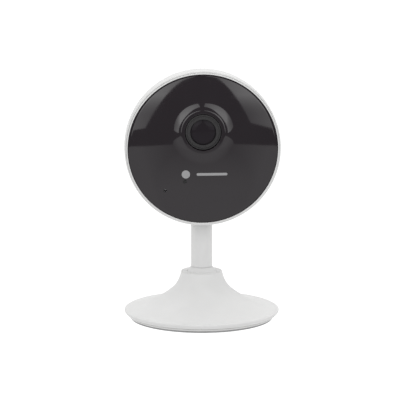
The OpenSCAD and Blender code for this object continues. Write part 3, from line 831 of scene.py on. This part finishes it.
def make_usb_socket():
    """Folded steel shell with its tongue and contacts."""
    x, up = off_centre("usb_socket")
    width, height = usb_high.x - usb_low.x, usb_high.z - usb_low.z
    mouth, foot = -usb_high.y, -usb_low.y
    shell = slab("usb_shell", pill(width, height, 0.7, x=x, y=up), mouth, foot, on_head())
    inside = pill(width - 0.6, height - 0.6, 0.45, x=x, y=up)
    carve(shell, slab("usb_hollow", inside, mouth - 1, foot - 1.4, on_head()))
    finish_piece(shell, "head", "zinc_steel", ["usb_socket"])
    tongue = slab("usb_tongue", pill(4.4, 0.6, 0.1, 2, x, up + 0.45), mouth + 0.8, foot - 1.39, on_head())
    finish_piece(tongue, "head", "black_plastic")
    pitch = 0.65
    contacts = []
    for k in (-2, -1, 0, 1, 2):
        strip = pill(0.35, 0.06, 0.02, 1, x + pitch * k, up + 0.14)
        contacts.append(slab("contact", strip, mouth + 1.1, foot - 1.5, on_head()))
    finish_piece(join("usb_contacts", contacts), "head", "zinc_steel", material="antenna_copper")


def make_reset_button():
    """Key with a dished tip and a flange that keeps it inside the back wall."""
    tip, inner = -button_high.y, -button_low.y
    flange = -BACK_S + WALL + 0.3
    key_r, flange_r, flange_t = 1.45, 2.4, 0.8
    button = lathe("reset_key", fillet([
        (0, tip + 0.18), (0.7, tip + 0.1), (1.2, tip, 0.1), (key_r, tip, 0.15), (key_r, flange),
        (flange_r, flange, 0.1), (flange_r, flange + flange_t, 0.1), (1, flange + flange_t), (1, inner, 0.15),
        (0, inner)]), on_head(*off_centre("reset_button")), KEY_TURNS)
    finish_piece(button, "button", "white_plastic", ["reset_button"])


# ---------------------------------------------------------------- studio

# Angles are in degrees round the head's centre, distances are in metres.
HEAD_AT = Vector((0, 0, HEAD_Z * MM))
ARCH_AZ = 1.9  # middle of the dark arch between the two halves of the panel
ARCH_TOP = 12.6
ARCH_GAP = 2.3  # half of the gap between the two halves above the arch
PANEL_LOW, PANEL_HIGH = -3.0, 20.9
PANEL_W = 28.0  # from the arch's middle to the outer edge, where the panel is widest
PANEL_MIDDLE, PANEL_TALL = -5, 26  # the height where it is widest, and that of its rounded top above it
PANEL_AWAY = 3.0
BEND = 16  # the shift of the panel's lower edge and its least strength are stated for this far aside
FLOOR_AZ = 3  # the direction in which the front edge of the table is farthest
FLOOR_FRONT = 60  # the front edge goes this far to both sides of it
FLOOR_BACK = 2.6  # distance of the table's edge at the back


def direction(azimuth, elevation):
    """Unit vector at an angle round from the front, and above the level."""
    a, e = math.radians(azimuth), math.radians(elevation)
    return Vector((math.sin(a) * math.cos(e), -math.cos(a) * math.cos(e), math.sin(e)))


def glowing_sheet(name, points, strengths, faces):
    """A stage mesh that shines by its own strength at every point, and only from its front side."""
    mesh = bpy.data.meshes.new(name)
    mesh.from_pydata(points, [], faces)
    glow = mesh.attributes.new("glow", "FLOAT", "POINT")
    glow.data.foreach_set("value", strengths)
    material = bpy.data.materials.new(name)
    material.use_nodes = True
    tree = material.node_tree
    tree.nodes.clear()
    out = tree.nodes.new("ShaderNodeOutputMaterial")
    light = tree.nodes.new("ShaderNodeEmission")
    level = tree.nodes.new("ShaderNodeAttribute")
    level.attribute_name = "glow"
    side = tree.nodes.new("ShaderNodeNewGeometry")
    clear = tree.nodes.new("ShaderNodeBsdfTransparent")
    mix = tree.nodes.new("ShaderNodeMixShader")
    tree.links.new(level.outputs["Fac"], light.inputs["Strength"])
    tree.links.new(side.outputs["Backfacing"], mix.inputs[0])
    tree.links.new(light.outputs[0], mix.inputs[1])
    tree.links.new(clear.outputs[0], mix.inputs[2])
    tree.links.new(mix.outputs[0], out.inputs["Surface"])
    mesh.materials.append(material)
    sheet = bpy.data.objects.new(name, mesh)
    bpy.context.scene.collection.objects.link(sheet)
    return sheet


def panel_glow(aside, elevation, least, most):
    """Strength of the studio panel: brighter upward and away from the arch."""
    outward, upward, near_arch = 0.1, 0.043, 1.8
    from_below = least + outward * (aside - BEND) + upward * max(0.0, elevation) ** 2
    return min(most, most - near_arch + outward * aside, from_below)


def make_softbox():
    """The studio panel in front of the head, in two halves on either side of a dark arch."""
    rows, columns = 80, 40
    points, strengths, faces = [], [], []
    # side, spread of the arch, shift and slope of the lower edge, least and most strength
    halves = ((-1, 19.3, -0.15, 0.2, 1.4, 3.7), (1, 16.3, 1.0, 0.3, 1.15, 3.3))
    for side, spread, low_shift, slope, least, most in halves:
        first = len(points)
        for j in range(rows + 1):
            elevation = PANEL_LOW + (PANEL_HIGH - PANEL_LOW) * j / rows
            arch = max(ARCH_GAP, math.sqrt(spread * max(0.0, ARCH_TOP - elevation)))
            rounding = (1 - ((elevation - PANEL_MIDDLE) / PANEL_TALL) ** 3) ** (1 / 3)
            limit = PANEL_W * rounding + 0.9 * side
            for i in range(columns + 1):
                aside = arch + max(0.05, limit - arch) * i / columns
                tilt = (low_shift - slope * (aside - BEND)) * (1 - j / rows)
                points.append(HEAD_AT + direction(ARCH_AZ + side * aside, elevation + tilt) * PANEL_AWAY)
                strengths.append(panel_glow(aside, elevation + tilt, least, most))
        for j in range(rows):
            for i in range(columns):
                k = first + j * (columns + 1) + i
                corners = [k, k + 1, k + columns + 2, k + columns + 1]
                faces.append(corners[::-side])
    panel = glowing_sheet("studio_panel", points, strengths, faces)
    panel.visible_camera = False
    panel.visible_diffuse = False
    panel.visible_shadow = False


def floor_edge(off):
    """Distance of the white table's edge: a little nearer to both sides of the front, and far at the back."""
    below, more, more_at, turn = 7.9, 0.9, 22, 30  # angles: the edge lies this far below the head
    edge = HEAD_AT.z / math.tan(math.radians(below + more * min(1.0, (off / more_at) ** 2)))
    if off > FLOOR_FRONT:
        edge += (FLOOR_BACK - edge) * min(1.0, (off - FLOOR_FRONT) / turn)
    return edge


def make_floor():
    """White table whose front edge shows in the face as a horizon; brightest near the base and aside."""
    rings, turns = 40, 180
    level = -0.3 * MM  # clear of the foot pad
    dimmest, brightest = 0.7, 1.25
    dim_r, dim_w, dim_off, side_w = 0.42, 0.27, 9, 14  # dim beyond this distance, and straight in front
    points, strengths, faces = [Vector((0, 0, level))], [brightest], []
    for j in range(1, rings + 1):
        for i in range(turns):
            azimuth = -180 + 360 * i / turns
            off = abs(azimuth - FLOOR_AZ)
            r = floor_edge(off) * (j / rings) ** 1.6
            a = math.radians(azimuth)
            points.append(Vector((math.sin(a) * r, -math.cos(a) * r, level)))
            near = max(0.0, min(1.0, (dim_r - r) / dim_w)) if off < FLOOR_FRONT else 1.0
            aside = max(0.0, min(1.0, (off - dim_off) / side_w))
            strengths.append(dimmest + (brightest - dimmest) * max(0.75 * near, 0.85 * aside))
    for i in range(turns):
        faces.append([0, 1 + i, 1 + (i + 1) % turns])
        for j in range(rings - 1):
            inner, outer = 1 + j * turns, 1 + (j + 1) * turns
            n = (i + 1) % turns
            faces.append([inner + i, outer + i, outer + n, inner + n])
    floor = glowing_sheet("studio_floor", points, strengths, faces)
    floor.visible_diffuse = False


def make_world():
    """White for the camera, soft light from all round, and for reflections a room that is dim in front."""
    world = bpy.data.worlds.new("studio")
    world.use_nodes = True
    bpy.context.scene.world = world
    tree = world.node_tree
    tree.nodes.clear()
    out = tree.nodes.new("ShaderNodeOutputWorld")
    path = tree.nodes.new("ShaderNodeLightPath")
    shown = tree.nodes.new("ShaderNodeBackground")
    shown.inputs["Strength"].default_value = 1.3
    soft = tree.nodes.new("ShaderNodeBackground")
    room = tree.nodes.new("ShaderNodeBackground")
    where = tree.nodes.new("ShaderNodeTexCoord")
    split = tree.nodes.new("ShaderNodeSeparateXYZ")
    tree.links.new(where.outputs["Generated"], split.inputs[0])
    tree.links.new(map_range(tree, split.outputs["Z"], -0.3, 0.5, 1.02, 1.13), soft.inputs["Strength"])
    tree.links.new(map_range(tree, split.outputs["Y"], -0.35, 0.35, 0.5, 1.0), room.inputs["Strength"])
    glossy = tree.nodes.new("ShaderNodeMixShader")
    tree.links.new(path.outputs["Is Glossy Ray"], glossy.inputs[0])
    tree.links.new(soft.outputs[0], glossy.inputs[1])
    tree.links.new(room.outputs[0], glossy.inputs[2])
    camera = tree.nodes.new("ShaderNodeMixShader")
    tree.links.new(path.outputs["Is Camera Ray"], camera.inputs[0])
    tree.links.new(glossy.outputs[0], camera.inputs[1])
    tree.links.new(shown.outputs[0], camera.inputs[2])
    tree.links.new(camera.outputs[0], out.inputs["Surface"])


def add_lamp(name, at, aim, size, watts):
    """A square lamp that is seen neither by the camera nor in reflections."""
    lamp = bpy.data.lights.new(name, "AREA")
    lamp.shape = "RECTANGLE"
    lamp.size = lamp.size_y = size
    lamp.energy = watts
    made = bpy.data.objects.new(name, lamp)
    made.location = at
    made.rotation_euler = (Vector(aim) - Vector(at)).to_track_quat("-Z", "Y").to_euler()
    made.visible_glossy = False
    made.visible_camera = False
    bpy.context.scene.collection.objects.link(made)


def make_camera():
    """The photograph's viewpoint."""
    away = 1.5
    target = Vector((-0.67, 0, 49.44)) * MM
    back = direction(-2.82, 11.2)
    lens = bpy.data.cameras.new("camera")
    lens.sensor_width = 36
    lens.lens = 327.2
    lens.clip_start, lens.clip_end = 0.05, 20
    camera = bpy.data.objects.new("camera", lens)
    camera.location = target + back * away
    camera.rotation_mode = "QUATERNION"
    camera.rotation_quaternion = (-back).to_track_quat("-Z", "Y")
    bpy.context.scene.collection.objects.link(camera)
    bpy.context.scene.camera = camera


paint_frame()
make_base_shell()
make_bottom_plate()
make_foot_pad()
make_ball()
make_stem()
make_rear_housing()
make_front_frame()
make_front_cover()
make_face_mark()
make_lens()
make_usb_socket()
make_reset_button()

make_softbox()
make_floor()
make_world()
add_lamp("top_light", (0, 0.1, 1.2), (0, 0, 0), 1.2, 4)
make_camera()
bpy.context.scene.view_settings.view_transform = "Standard"
